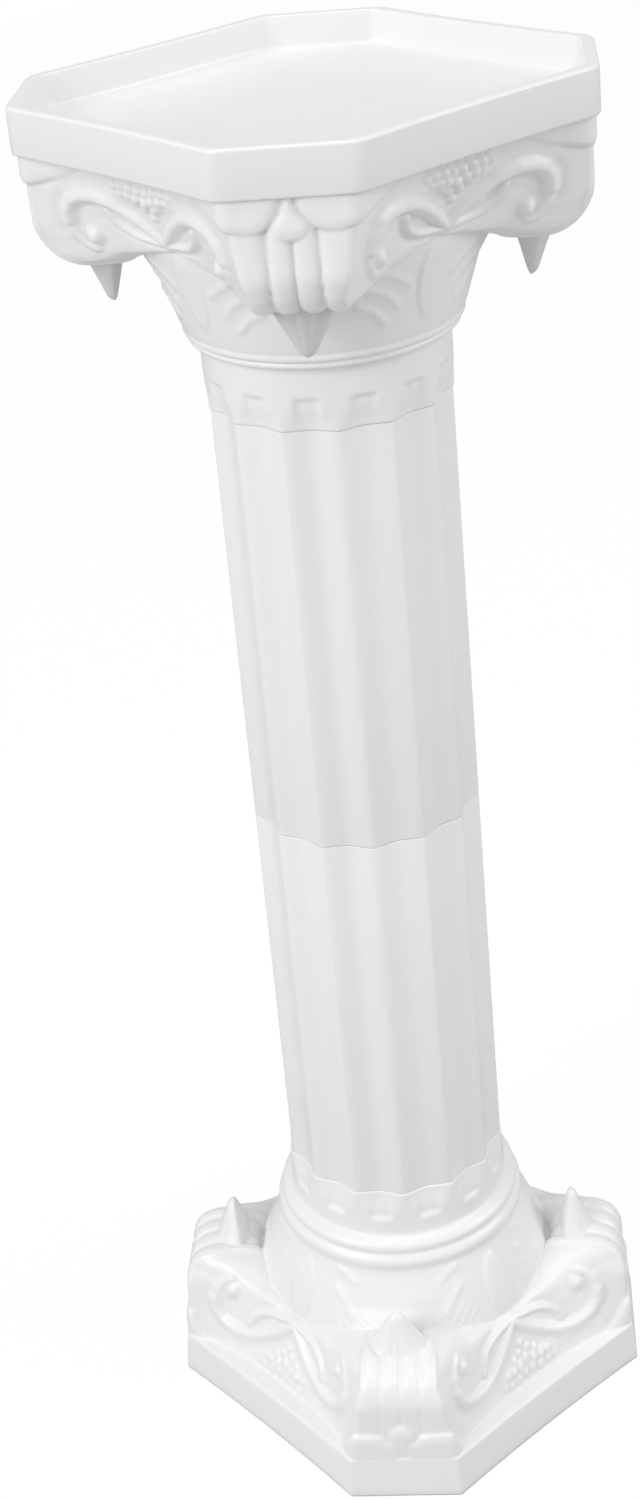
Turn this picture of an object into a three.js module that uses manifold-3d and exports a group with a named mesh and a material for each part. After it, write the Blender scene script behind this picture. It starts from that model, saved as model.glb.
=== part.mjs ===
// Knock-down pedestal column in the Corinthian manner: a moulded base, two fluted
// tubes, a capital of the same pattern turned upside down, and a loose tray that
// hooks over the capital's open top. Every piece above the base lifts straight up.
// Millimetres, +Z up, origin on the floor under the column's axis.

import * as THREE from 'three';
import { mergeVertices } from 'three/addons/utils/BufferGeometryUtils.js';
import Module from 'manifold-3d';

const wasm = await Module();
wasm.setup();

// ---- Driving dimensions -------------------------------------------------------

// Stack, from the floor up
const BASE_HEIGHT = 168;
const LOWER_TUBE_LENGTH = 250;
const UPPER_TUBE_LENGTH = 256;
const CAPITAL_HEIGHT = 172.8;
const SEAM_GAP = 0.3;            // clearance between each piece and the one it stands on

// Tray
const TRAY_ACROSS = 265;         // over the skirt, flat to flat
const TRAY_CHAMFER = 50;         // length that each corner takes off a side
const TRAY_BOW = 2.4;            // how far a long side bows in at its middle
const SKIRT_HEIGHT = 25.2;
const TRAY_WALL = 2;
const RIM_WIDTH = 7;             // outside of the skirt to the inside of the recess
const RIM_EDGE = 2.4;            // rounding of the rim's outer edge
const RECESS_DEPTH = 19.5;
const RECESS_DRAFT = 1;          // how far the recess wall leans in, top to floor
const RECESS_FILLET = 3.5;
const TRAY_FIT = 0.4;            // play between the tray and the capital's wall

// Base foot
const FOOT_ACROSS = 260;
const FOOT_CHAMFER = 48.7;
const FOOT_BOW = 1.9;
const FOOT_WALL = 3;
const FOOT_DRAFT = 2.6;          // how far the foot's wall leans in over its height

// Ornament, placed by its distance from the collar's open end
const FOOT_LEDGE = 140.3;        // top of the base's foot
const ABACUS_LEDGE = 150.4;      // underside of the capital's abacus
const LEDGE_EDGE = 1.8;          // rounding of both ledges' outer edges
const LEDGE_WALL = 2.6;
const VOLUTE_REACH = 146;        // axis to the outer face of a corner scroll
const VOLUTE_FACE_END = 110.3;   // where the outer face starts to curl in
const VOLUTE_LOWEST = 85.7;      // the curl's lowest line
const VOLUTE_CURL = 20;          // how far the curl turns in over its rounding
const VOLUTE_WIDTH = 60.6;       // outer face, at the panel's widest
const VOLUTE_NECK = 48;          // outer face, at the curl
const PANEL_PLACE = 131.8;       // the panel's widest
const PANEL_MIDDLE = 111;        // axis to the middle of a side, at its widest
const PANEL_FLARE = 0.2;         // how fast the middle still leans out past there
const PANEL_WAIST = 100;         // axis to the middle, where the corner starts to curl
const PANEL_LOWEST = 101.5;      // lower edge of the side at its middle
const PANEL_FOOT = 97;           // axis to that edge
const DRAPE_REACH = 149;         // axis to the face of the drape over each corner
const DRAPE_DEPTH = 10;
const DRAPE_EDGE = 1.6;          // rounding of its edges
const DRAPE_WIDTH = 66;
const FOOT_DRAPE = 124;          // lower edge of the base's drape
const ABACUS_DRAPE = 131;        // the same on the capital
const BUD_WIDTH = 18;
const BUD_DROP = 5.5;            // how far the bud hangs below the drape
const BELL_RADIUS = 94;          // bell under the side panels
const BELL_TOP = 93;
const BELL_SHOULDER = 80;        // where the bell starts to narrow
const BELL_TAPER = 1.7;          // how far it narrows before that
const BELL_WALL = 3;
const LEAF_BACK = 107;           // axis to the inner side of a corner leaf, at its root
const LEAF_TIP = 57.7;
const LEAF_LEAN = 5.5;           // how far the inner side leans out, root to tip
const LEAF_WIDTH = 33;
const LEAF_THICKNESS = 17;
const FLOWER_PLACE = 131;
const FLOWER_WIDTH = 44;
const FLOWER_HEIGHT = 20;
const FLOWER_RELIEF = 7;

// Neck rings and collar
const LOWER_RING_PLACE = 37.3;
const LOWER_RING_RADIUS = 76.1;
const LOWER_RING_THICKNESS = 8.6;
const UPPER_RING_PLACE = 46.1;
const UPPER_RING_RADIUS = 80;
const UPPER_RING_THICKNESS = 9;
const COLLAR_RADIUS = 69;
const COLLAR_FLUTE_LENGTH = 20.5;
const COLLAR_FLUTE_END = 5;      // length over which a flute runs out

// Fluted shaft and its plug joints
const SHAFT_RADIUS = 68.2;
const FLUTES = 14;
const FLUTE_DEPTH = 4.3;
const SHAFT_WALL = 2.5;
const SPIGOT_LENGTH = 18;
const SPIGOT_WALL = 2.2;
const SPIGOT_FIT = 0.3;          // radial play of a spigot in its socket
const FLANGE = 2.5;

// Finish
const PLASTIC_WHITE = 0xf1f1ef;
const PLASTIC_ROUGHNESS = 0.28;

// ---- Facets ---------------------------------------------------------------------

const SIDE_STEPS = 4;            // from the middle of a side to the corner's edge
const CORNER_STEPS = 2;          // from the corner's edge to the diagonal
const FLUTE_STEPS = 6;
const CURL_STEPS = 4;
const RING_STEPS = 5;
const LEAF_SIDES = 10;
const LEAF_STEPS = 4;
const ROUND_SIDES = 56;

// ---- Sizes that follow ------------------------------------------------------------

const DIAGONAL = Math.SQRT1_2;
const BORE_RADIUS = SHAFT_RADIUS - FLUTE_DEPTH - SHAFT_WALL;
const SPIGOT_RADIUS = BORE_RADIUS - SPIGOT_FIT;
const SPIGOT_BORE = SPIGOT_RADIUS - SPIGOT_WALL;
const BELL_NECK = UPPER_RING_RADIUS - 1;
const BELL_END = UPPER_RING_PLACE + UPPER_RING_THICKNESS / 2;
const ABACUS_WALL = RIM_WIDTH - 2 * TRAY_WALL - 2 * TRAY_FIT;
const PAST = 1;                  // how far a cutter runs past the face that it opens
const BELL_FACETS = 1;           // allowance for the bell's flats

const LOWER_TUBE_Z = BASE_HEIGHT + SEAM_GAP;
const UPPER_TUBE_Z = LOWER_TUBE_Z + LOWER_TUBE_LENGTH + SEAM_GAP;
const CAPITAL_Z = UPPER_TUBE_Z + UPPER_TUBE_LENGTH + SEAM_GAP;
const CAPITAL_TOP = CAPITAL_Z + CAPITAL_HEIGHT;
const TRAY_Z = CAPITAL_TOP + SEAM_GAP + TRAY_WALL - SKIRT_HEIGHT;

// ---- Plans --------------------------------------------------------------------------

// A plan is an eight-sided outline: the distance from the axis to the middle of a
// side, the distance to a corner face along the diagonal, and half that face's width.
function octagon(across, chamfer, bow) {
  return {
    middle: across / 2 - bow,
    corner: (across - chamfer) * DIAGONAL,
    half: chamfer * DIAGONAL,
  };
}

function inset(plan, by) {
  return {
    middle: plan.middle - by,
    corner: plan.corner - by,
    half: plan.half - by * (Math.SQRT2 - 1),
  };
}

// One eighth of a plan at the given heights, from the middle of the +X side to the
// diagonal. The side is a hollow curve and the corner face is straight.
function eighth(plan, middleZ, cornerZ) {
  const edgeX = (plan.corner + plan.half) * DIAGONAL;
  const edgeY = (plan.corner - plan.half) * DIAGONAL;
  const points = [];
  for (let i = 0; i < SIDE_STEPS; i += 1) {
    const share = i / SIDE_STEPS;
    const x = plan.middle + (edgeX - plan.middle) * share * share;
    points.push([x, edgeY * share, middleZ + (cornerZ - middleZ) * share * share]);
  }
  for (let i = 0; i <= CORNER_STEPS; i += 1) {
    const along = plan.half * (1 - i / CORNER_STEPS);
    points.push([
      (plan.corner + along) * DIAGONAL,
      (plan.corner - along) * DIAGONAL,
      cornerZ,
    ]);
  }
  return points;
}

// The whole ring: the eighth mirrored into a quarter, and the quarter turned four times.
function ringOfEighths(points) {
  const mirrored = points.slice(1, -1).reverse().map(([x, y, z]) => [y, x, z]);
  const quarter = [...points, ...mirrored];
  const ring = [];
  for (let turn = 0; turn < 4; turn += 1) {
    const c = Math.round(Math.cos(turn * Math.PI / 2));
    const s = Math.round(Math.sin(turn * Math.PI / 2));
    for (const [x, y, z] of quarter) {
      ring.push(new THREE.Vector3(c * x - s * y, s * x + c * y, z));
    }
  }
  return ring;
}

function planRing(plan, middleZ, cornerZ = middleZ) {
  return ringOfEighths(eighth(plan, middleZ, cornerZ));
}

// A round ring with as many points as a plan's ring, in the same order.
function roundRing(radius, z) {
  const sideSpan = Math.PI * 0.19;
  const cornerSpan = Math.PI / 4 - sideSpan;
  const points = [];
  for (let i = 0; i < SIDE_STEPS; i += 1) {
    const angle = sideSpan * i / SIDE_STEPS;
    points.push([radius * Math.cos(angle), radius * Math.sin(angle), z]);
  }
  for (let i = 0; i <= CORNER_STEPS; i += 1) {
    const angle = sideSpan + cornerSpan * i / CORNER_STEPS;
    points.push([radius * Math.cos(angle), radius * Math.sin(angle), z]);
  }
  return ringOfEighths(points);
}

// Share of the flute's depth at an angle: round in the flute, narrow at the ridge.
// A flute's middle lies on the Y axis.
function fluteShare(angle) {
  return Math.abs(Math.cos((angle - Math.PI / 2) * FLUTES / 2)) ** 1.4;
}

function flutedRing(radius, depth, z) {
  const sides = FLUTES * FLUTE_STEPS;
  const ring = [];
  for (let i = 0; i < sides; i += 1) {
    const angle = i / sides * 2 * Math.PI;
    const r = radius - depth * fluteShare(angle);
    ring.push(new THREE.Vector3(r * Math.cos(angle), r * Math.sin(angle), z));
  }
  return ring;
}

// ---- Solids ---------------------------------------------------------------------------

// Skins a stack of rings, lowest first, and closes both ends.
function loft(rings) {
  const count = rings[0].length;
  const positions = rings.flat().flatMap((p) => [p.x, p.y, p.z]);
  const index = [];
  for (let row = 0; row + 1 < rings.length; row += 1) {
    for (let i = 0; i < count; i += 1) {
      const next = (i + 1) % count;
      const a = row * count + i;
      const b = row * count + next;
      index.push(a, b, b + count, a, b + count, a + count);
    }
  }
  const ends = [[0, rings[0]], [(rings.length - 1) * count, rings.at(-1)]];
  ends.forEach(([first, ring], top) => {
    const hub = positions.length / 3;
    const centre = ring.reduce((sum, p) => sum.add(p), new THREE.Vector3());
    centre.divideScalar(count);
    positions.push(centre.x, centre.y, centre.z);
    for (let i = 0; i < count; i += 1) {
      const a = first + i;
      const b = first + (i + 1) % count;
      index.push(hub, ...(top ? [a, b] : [b, a]));
    }
  });
  const geometry = new THREE.BufferGeometry();
  geometry.setAttribute('position', new THREE.Float32BufferAttribute(positions, 3));
  geometry.setIndex(index);
  return geometry;
}

// A turned solid about the Z axis, from [radius, z] points that run up from the axis.
function turned(profile, sides = ROUND_SIDES) {
  const points = profile.map(([radius, z]) => new THREE.Vector2(radius, z));
  return new THREE.LatheGeometry(points, sides).rotateX(Math.PI / 2);
}

function solid(geometry) {
  const bare = geometry.clone();
  bare.deleteAttribute('normal');
  bare.deleteAttribute('uv');
  const merged = mergeVertices(bare, 1e-4);
  return new wasm.Manifold(new wasm.Mesh({
    numProp: 3,
    vertProperties: merged.attributes.position.array,
    triVerts: new Uint32Array(merged.index.array),
  }));
}

function mesh(name, body) {
  const { vertProperties, triVerts } = body.getMesh();
  const geometry = new THREE.BufferGeometry();
  geometry.setAttribute('position', new THREE.Float32BufferAttribute(vertProperties, 3));
  geometry.setIndex(new THREE.BufferAttribute(triVerts, 1));
  geometry.computeVertexNormals();
  const plastic = new THREE.MeshStandardMaterial({
    color: PLASTIC_WHITE,
    roughness: PLASTIC_ROUGHNESS,
    metalness: 0,
  });
  const piece = new THREE.Mesh(geometry, plastic);
  piece.name = name;
  return piece;
}

// ---- Corner ornament --------------------------------------------------------------------

// The base and the capital share this pattern. Both are made standing on their wide
// end, so heights here are taken down from the collar's end, at the given level.
function ornament(height, ledge) {
  const at = (place) => height - place;
  const panel = (corner, width, middle) => ({ corner, half: width / 2, middle });
  const wide = panel(VOLUTE_REACH, VOLUTE_WIDTH, PANEL_MIDDLE);
  const flare = PANEL_FLARE * (ledge - PANEL_PLACE);
  const flared = panel(VOLUTE_REACH, VOLUTE_WIDTH, PANEL_MIDDLE + flare);
  const narrow = panel(VOLUTE_REACH, (VOLUTE_WIDTH + VOLUTE_NECK) / 2, PANEL_WAIST);
  const rings = [
    planRing(flared, at(ledge) - LEDGE_EDGE),
    planRing(wide, at(PANEL_PLACE)),
    planRing(narrow, at(VOLUTE_FACE_END)),
  ];
  const drop = VOLUTE_FACE_END - VOLUTE_LOWEST;
  for (let i = 1; i <= CURL_STEPS; i += 1) {
    const turn = Math.PI / 2 * i / CURL_STEPS;
    const share = i / CURL_STEPS;
    const corner = VOLUTE_REACH - VOLUTE_CURL * (1 - Math.cos(turn));
    const middle = PANEL_WAIST + (PANEL_FOOT - PANEL_WAIST) * share;
    const middlePlace = VOLUTE_FACE_END + (PANEL_LOWEST - VOLUTE_FACE_END) * share;
    rings.push(planRing(
      panel(corner, VOLUTE_NECK, middle),
      at(middlePlace),
      at(VOLUTE_FACE_END - drop * Math.sin(turn)),
    ));
  }
  rings.push(roundRing(BELL_RADIUS, at(BELL_TOP)));
  const shoulder = BELL_RADIUS - BELL_TAPER;
  rings.push(roundRing(shoulder, at(BELL_SHOULDER)));
  for (const share of [0.3, 0.65, 1]) {
    const place = BELL_SHOULDER + (BELL_END - BELL_SHOULDER) * share ** 0.85;
    rings.push(roundRing(shoulder + (BELL_NECK - shoulder) * share, at(place)));
  }
  rings.push(roundRing(LOWER_RING_RADIUS - LOWER_RING_THICKNESS / 2, at(LOWER_RING_PLACE)));
  return loft(rings);
}

// Space inside the ornament, a wall's thickness behind its outer face.
function ornamentHollow(height, ledge) {
  const at = (place) => height - place;
  const panel = (corner, width, middle) => ({
    corner: corner - BELL_WALL,
    half: width / 2 - BELL_WALL,
    middle: middle - BELL_WALL,
  });
  const wide = panel(VOLUTE_REACH, VOLUTE_WIDTH, PANEL_MIDDLE);
  const narrow = panel(VOLUTE_REACH, VOLUTE_NECK, PANEL_WAIST);
  const curl = panel(VOLUTE_REACH - VOLUTE_CURL * 0.3, VOLUTE_NECK, BELL_RADIUS - BELL_FACETS);
  const drop = VOLUTE_FACE_END - VOLUTE_LOWEST;
  return loft([
    planRing(wide, at(ledge) - PAST - BELL_WALL),
    planRing(wide, at(PANEL_PLACE)),
    planRing(narrow, at(VOLUTE_FACE_END)),
    planRing(curl, at(VOLUTE_FACE_END - drop * 0.6)),
  ]);
}

// The bell's bore, from its wide end up to the given height in the collar.
function bellHollow(height, top) {
  const at = (place) => height - place;
  const wide = BELL_RADIUS - BELL_WALL - BELL_FACETS;
  return turned([
    [0, at(PANEL_PLACE)],
    [wide, at(PANEL_PLACE)],
    [wide, at(BELL_TOP)],
    [wide - BELL_TAPER, at(BELL_SHOULDER)],
    [BELL_NECK - BELL_WALL, at(BELL_END + BELL_WALL)],
    [BORE_RADIUS, at(LOWER_RING_PLACE)],
    [BORE_RADIUS, top],
    [0, top],
  ]);
}

// Two half-round rings and the collar, whose flutes meet the shaft's.
function neck(height) {
  const at = (place) => height - place;
  const rings = [flutedRing(UPPER_RING_RADIUS - UPPER_RING_THICKNESS / 2, 0, at(BELL_END))];
  const beads = [
    [UPPER_RING_PLACE, UPPER_RING_RADIUS, UPPER_RING_THICKNESS / 2],
    [LOWER_RING_PLACE, LOWER_RING_RADIUS, LOWER_RING_THICKNESS / 2],
  ];
  for (const [place, radius, round] of beads) {
    for (let i = 1; i < RING_STEPS; i += 1) {
      const turn = Math.PI * i / RING_STEPS;
      const out = radius - round + round * Math.sin(turn);
      rings.push(flutedRing(out, 0, at(place + round * Math.cos(turn))));
    }
  }
  rings.push(flutedRing(COLLAR_RADIUS, 0, at(LOWER_RING_PLACE - LOWER_RING_THICKNESS / 2)));
  rings.push(flutedRing(COLLAR_RADIUS, 0, at(COLLAR_FLUTE_LENGTH)));
  rings.push(flutedRing(COLLAR_RADIUS, FLUTE_DEPTH, at(COLLAR_FLUTE_LENGTH - COLLAR_FLUTE_END)));
  rings.push(flutedRing(COLLAR_RADIUS, FLUTE_DEPTH, height));
  return loft(rings);
}

// A corner leaf that grows from the curl and narrows to a blunt point, on the +X +Y
// diagonal. Its outer side is rounded and its inner side nearly flat.
function leaf(height) {
  const root = VOLUTE_LOWEST + BELL_WALL;
  const rings = [];
  for (let step = 0; step <= LEAF_STEPS; step += 1) {
    const share = step / LEAF_STEPS;
    const back = LEAF_BACK + LEAF_LEAN * share;
    const thickness = LEAF_THICKNESS * (1 - 0.85 * share ** 2);
    const width = LEAF_WIDTH * (1 - 0.9 * share ** 1.3);
    const ring = [];
    for (let i = 0; i < LEAF_SIDES; i += 1) {
      const turn = i / LEAF_SIDES * 2 * Math.PI;
      const swell = Math.cos(turn) > 0 ? 0.75 : 0.25;
      const outward = back + thickness * (0.25 + swell * Math.cos(turn));
      const sideways = width / 2 * Math.sin(turn);
      ring.push(new THREE.Vector3(
        (outward - sideways) * DIAGONAL,
        (outward + sideways) * DIAGONAL,
        height - root + (root - LEAF_TIP) * share,
      ));
    }
    rings.push(ring);
  }
  return loft(rings);
}

// A cloth drape over the +X +Y corner: two round lobes with a bud between them, proud
// of the scroll's outer face and running up to the ledge.
function drape(height, ledge, edge) {
  const half = DRAPE_WIDTH / 2;
  const lobe = (half - BUD_WIDTH / 2) / 2;
  const outline = new THREE.Shape();
  const level = edge + lobe * 0.6;
  outline.moveTo(-half, ledge);
  outline.lineTo(-half, level);
  outline.absellipse(-half + lobe, level, lobe, lobe * 0.6, Math.PI, 2 * Math.PI, false);
  outline.lineTo(-BUD_WIDTH / 2, edge);
  outline.absellipse(0, edge, BUD_WIDTH / 2, BUD_DROP, Math.PI, 2 * Math.PI, false);
  outline.lineTo(BUD_WIDTH / 2, level);
  outline.absellipse(half - lobe, level, lobe, lobe * 0.6, Math.PI, 2 * Math.PI, false);
  outline.lineTo(half, ledge);
  outline.closePath();
  const cloth = new THREE.ExtrudeGeometry(outline, {
    depth: DRAPE_DEPTH - 2 * DRAPE_EDGE,
    bevelThickness: DRAPE_EDGE,
    bevelSize: DRAPE_EDGE,
    bevelOffset: -DRAPE_EDGE,
    bevelSegments: 1,
    curveSegments: 4,
  });
  const outward = new THREE.Vector3(DIAGONAL, DIAGONAL, 0);
  const down = new THREE.Vector3(0, 0, -1);
  const across = new THREE.Vector3(DIAGONAL, -DIAGONAL, 0);
  const back = DRAPE_REACH - DRAPE_DEPTH + DRAPE_EDGE;
  const stand = new THREE.Matrix4().makeBasis(across, down, outward);
  stand.setPosition(back * DIAGONAL, back * DIAGONAL, height);
  return cloth.applyMatrix4(stand);
}

// A low flower boss in the middle of the +X side.
function flower(height) {
  const boss = new THREE.SphereGeometry(1, 12, 7);
  boss.scale(FLOWER_RELIEF, FLOWER_WIDTH / 2, FLOWER_HEIGHT / 2);
  boss.translate(PANEL_MIDDLE - 1, 0, height - FLOWER_PLACE);
  return boss;
}

function fourTimes(body, geometry) {
  let result = body;
  for (let turn = 0; turn < 4; turn += 1) {
    result = result.add(solid(geometry.clone().rotateZ(turn * Math.PI / 2)));
  }
  return result;
}

function carved(height, ledge, drapeEdge, foot) {
  let body = solid(loft(foot)).add(solid(ornament(height, ledge))).add(solid(neck(height)));
  body = fourTimes(body, leaf(height));
  body = fourTimes(body, drape(height, ledge, drapeEdge));
  return fourTimes(body, flower(height));
}

// ---- Pieces -------------------------------------------------------------------------------

// A plug below a piece's lower end, and the bore that runs through it.
function spigot() {
  return solid(turned([
    [0, -SPIGOT_LENGTH],
    [SPIGOT_RADIUS, -SPIGOT_LENGTH],
    [SPIGOT_RADIUS, FLANGE / 2],
    [0, FLANGE / 2],
  ]));
}

function spigotBore() {
  return solid(turned([
    [0, -SPIGOT_LENGTH - PAST],
    [SPIGOT_BORE, -SPIGOT_LENGTH - PAST],
    [SPIGOT_BORE, FLANGE + PAST],
    [0, FLANGE + PAST],
  ]));
}

function base() {
  const plan = octagon(FOOT_ACROSS, FOOT_CHAMFER, FOOT_BOW);
  const top = BASE_HEIGHT - FOOT_LEDGE;
  const foot = [
    planRing(plan, 0),
    planRing(inset(plan, FOOT_DRAFT), top - LEDGE_EDGE),
    planRing(inset(plan, FOOT_DRAFT + LEDGE_EDGE * 0.4), top - LEDGE_EDGE * 0.4),
    planRing(inset(plan, FOOT_DRAFT + LEDGE_EDGE), top),
  ];
  const room = [
    planRing(inset(plan, FOOT_WALL), -PAST),
    planRing(inset(plan, FOOT_DRAFT + FOOT_WALL), top - LEDGE_WALL),
  ];
  const body = carved(BASE_HEIGHT, FOOT_LEDGE, FOOT_DRAPE, foot)
    .subtract(solid(loft(room)))
    .subtract(solid(ornamentHollow(BASE_HEIGHT, FOOT_LEDGE)))
    .subtract(solid(bellHollow(BASE_HEIGHT, BASE_HEIGHT + PAST)));
  return mesh('base', body);
}

// Made standing on its wide end, then turned over.
function capital() {
  const outer = inset(octagon(TRAY_ACROSS, TRAY_CHAMFER, TRAY_BOW), TRAY_WALL + TRAY_FIT);
  const ledge = CAPITAL_HEIGHT - ABACUS_LEDGE;
  const abacus = [
    planRing(outer, 0),
    planRing(outer, ledge - LEDGE_EDGE),
    planRing(inset(outer, LEDGE_EDGE * 0.4), ledge - LEDGE_EDGE * 0.4),
    planRing(inset(outer, LEDGE_EDGE), ledge),
  ];
  const room = [
    planRing(inset(outer, ABACUS_WALL), -PAST),
    planRing(inset(outer, ABACUS_WALL), ledge - LEDGE_WALL),
  ];
  const turnedOver = (body) => body.rotate([180, 0, 0]).translate([0, 0, CAPITAL_HEIGHT]);
  const body = carved(CAPITAL_HEIGHT, ABACUS_LEDGE, ABACUS_DRAPE, abacus)
    .subtract(solid(loft(room)))
    .subtract(solid(ornamentHollow(CAPITAL_HEIGHT, ABACUS_LEDGE)))
    .subtract(solid(bellHollow(CAPITAL_HEIGHT, CAPITAL_HEIGHT - FLANGE)))
    .add(turnedOver(spigot()))
    .subtract(turnedOver(spigotBore()));
  const piece = mesh('capital', body);
  piece.rotation.x = Math.PI;
  piece.position.z = CAPITAL_TOP;
  return piece;
}

// A fluted tube with an open top and a round spigot under its lower end.
function shaft(name, length) {
  const outside = solid(loft([
    flutedRing(SHAFT_RADIUS, FLUTE_DEPTH, 0),
    flutedRing(SHAFT_RADIUS, FLUTE_DEPTH, length),
  ]));
  const inside = solid(loft([
    flutedRing(SHAFT_RADIUS - SHAFT_WALL, FLUTE_DEPTH, FLANGE),
    flutedRing(SHAFT_RADIUS - SHAFT_WALL, FLUTE_DEPTH, length + PAST),
  ]));
  return mesh(name, outside.subtract(inside).add(spigot()).subtract(spigotBore()));
}

// A shallow pan with a double-walled rim: the skirt hangs outside the capital's wall
// and the pan's wall stands inside it.
function tray() {
  const plan = octagon(TRAY_ACROSS, TRAY_CHAMFER, TRAY_BOW);
  const recess = inset(plan, RIM_WIDTH);
  const floorZ = SKIRT_HEIGHT - RECESS_DEPTH;
  const outer = solid(loft([
    planRing(inset(plan, 0.8), 0),
    planRing(plan, 0.9),
    planRing(plan, SKIRT_HEIGHT - RIM_EDGE),
    planRing(inset(plan, RIM_EDGE * 0.3), SKIRT_HEIGHT - RIM_EDGE * 0.3),
    planRing(inset(plan, RIM_EDGE), SKIRT_HEIGHT),
  ]));
  const under = solid(loft([
    planRing(inset(plan, TRAY_WALL), -PAST),
    planRing(inset(plan, TRAY_WALL), SKIRT_HEIGHT - TRAY_WALL),
  ]));
  const pan = solid(loft([
    planRing(inset(recess, RECESS_DRAFT - TRAY_WALL), floorZ - TRAY_WALL),
    planRing(inset(recess, -TRAY_WALL), SKIRT_HEIGHT - TRAY_WALL / 2),
  ]));
  const hollow = solid(loft([
    planRing(inset(recess, RECESS_DRAFT + RECESS_FILLET), floorZ),
    planRing(inset(recess, RECESS_DRAFT + RECESS_FILLET * 0.3), floorZ + RECESS_FILLET * 0.3),
    planRing(inset(recess, RECESS_DRAFT), floorZ + RECESS_FILLET),
    planRing(recess, SKIRT_HEIGHT - RIM_EDGE / 2),
    planRing(inset(recess, -RIM_EDGE / 2), SKIRT_HEIGHT + 0.01),
    planRing(inset(recess, -RIM_EDGE / 2), SKIRT_HEIGHT + PAST),
  ]));
  return mesh('tray', outer.subtract(under).add(pan).subtract(hollow));
}

// ---- Assembly -------------------------------------------------------------------------------

const column = new THREE.Group();
column.name = 'pedestal_column';
column.add(base());

const lowerTube = shaft('lower_shaft_tube', LOWER_TUBE_LENGTH);
lowerTube.position.z = LOWER_TUBE_Z;
column.add(lowerTube);

const upperTube = shaft('upper_shaft_tube', UPPER_TUBE_LENGTH);
upperTube.position.z = UPPER_TUBE_Z;
column.add(upperTube);

column.add(capital());

const topTray = tray();
topTray.position.z = TRAY_Z;
column.add(topTray);

export default column;
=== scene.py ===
"""Dresses a knock-down plastic pedestal column: tray, capital, two fluted tubes, base."""

import math
from collections import namedtuple
from types import SimpleNamespace

import bpy
import numpy as np
from mathutils import Matrix, Vector


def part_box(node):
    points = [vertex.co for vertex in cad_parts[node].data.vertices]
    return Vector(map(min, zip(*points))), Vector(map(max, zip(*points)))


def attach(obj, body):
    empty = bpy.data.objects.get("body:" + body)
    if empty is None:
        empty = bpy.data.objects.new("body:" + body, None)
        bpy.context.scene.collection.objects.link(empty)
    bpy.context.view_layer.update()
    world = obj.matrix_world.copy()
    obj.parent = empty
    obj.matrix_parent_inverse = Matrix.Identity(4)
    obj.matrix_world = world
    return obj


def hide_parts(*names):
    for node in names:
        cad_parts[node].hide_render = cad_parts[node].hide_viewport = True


bl_info = {
    "name": "Pedestal Column",
    "version": (1, 0, 0),
    "blender": (4, 5, 0),
    "location": "3D View > Sidebar > Column",
    "description": "Models and finishes a moulded column with fluted tubes and scroll capital",
    "category": "Object",
}

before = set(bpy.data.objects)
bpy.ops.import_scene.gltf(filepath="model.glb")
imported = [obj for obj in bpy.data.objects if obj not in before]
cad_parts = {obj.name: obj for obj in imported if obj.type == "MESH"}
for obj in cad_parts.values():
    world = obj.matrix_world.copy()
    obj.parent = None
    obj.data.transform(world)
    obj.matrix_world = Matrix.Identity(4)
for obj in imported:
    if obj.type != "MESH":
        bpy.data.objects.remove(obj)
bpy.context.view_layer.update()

HALF_ROOT = math.sqrt(0.5)


def levels(node):
    """Lowest and highest level of a solid, in metres."""
    low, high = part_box(node)
    return low[2], high[2]


# ---- Sizes and finish ----

def length(name, description, millimetres):
    return bpy.props.FloatProperty(
        name=name, description=description, default=millimetres / 1000,
        subtype="DISTANCE", unit="LENGTH", precision=4)


def number(name, description, default, low=0.0, high=1.0):
    return bpy.props.FloatProperty(
        name=name, description=description, default=default, min=low, max=high)


def colour(name, description, default):
    return bpy.props.FloatVectorProperty(
        name=name, description=description, default=default, size=3,
        subtype="COLOR", min=0, max=1)


class ColumnShaft(bpy.types.PropertyGroup):
    """Sizes of the fluted tubes and of the plugs that join the pieces."""
    radius: length("Radius", "Axis to the ridge between two flutes", 68.2)
    flutes: bpy.props.IntProperty(name="Flutes", description="Number of flutes",
                                  default=14, min=3)
    flute_depth: length("Flute Depth", "Depth of a flute at its middle", 4.3)
    wall: length("Wall", "Thickness of the tube's wall", 2.5)
    edge: length("Edge", "Rounding of the tube's ends", 0.55)
    plug: length("Plug", "Length of the plug under each piece", 18.0)
    plug_wall: length("Plug Wall", "Thickness of the plug's wall", 2.2)
    plug_fit: length("Plug Fit", "Radial play of a plug in its socket", 0.3)
    flange: length("Flange", "Thickness of the flange that carries the plug", 2.5)


class ColumnOrnament(bpy.types.PropertyGroup):
    """Sizes of the pattern that the base and the capital share.

    A place is a distance from the collar's open end, along the axis.
    """
    foot_across: length("Foot Across", "Foot, flat to flat", 260.0)
    foot_chamfer: length("Foot Chamfer", "Length that a corner takes off a side", 48.7)
    foot_bow: length("Foot Bow", "How far a long side bows in", 1.9)
    foot_draft: length("Foot Draft", "How far the foot's wall leans in", 2.6)
    panel_middle: length("Panel Middle", "Axis to the middle of a side panel", 111.0)
    panel_waist: length("Panel Waist", "The same where the corner starts to curl", 100.0)
    collar: length("Collar", "Radius of the collar", 69.0)
    relief: number("Relief", "Share of the carved relief's full height", 1.0, 0, 1.5)


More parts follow.
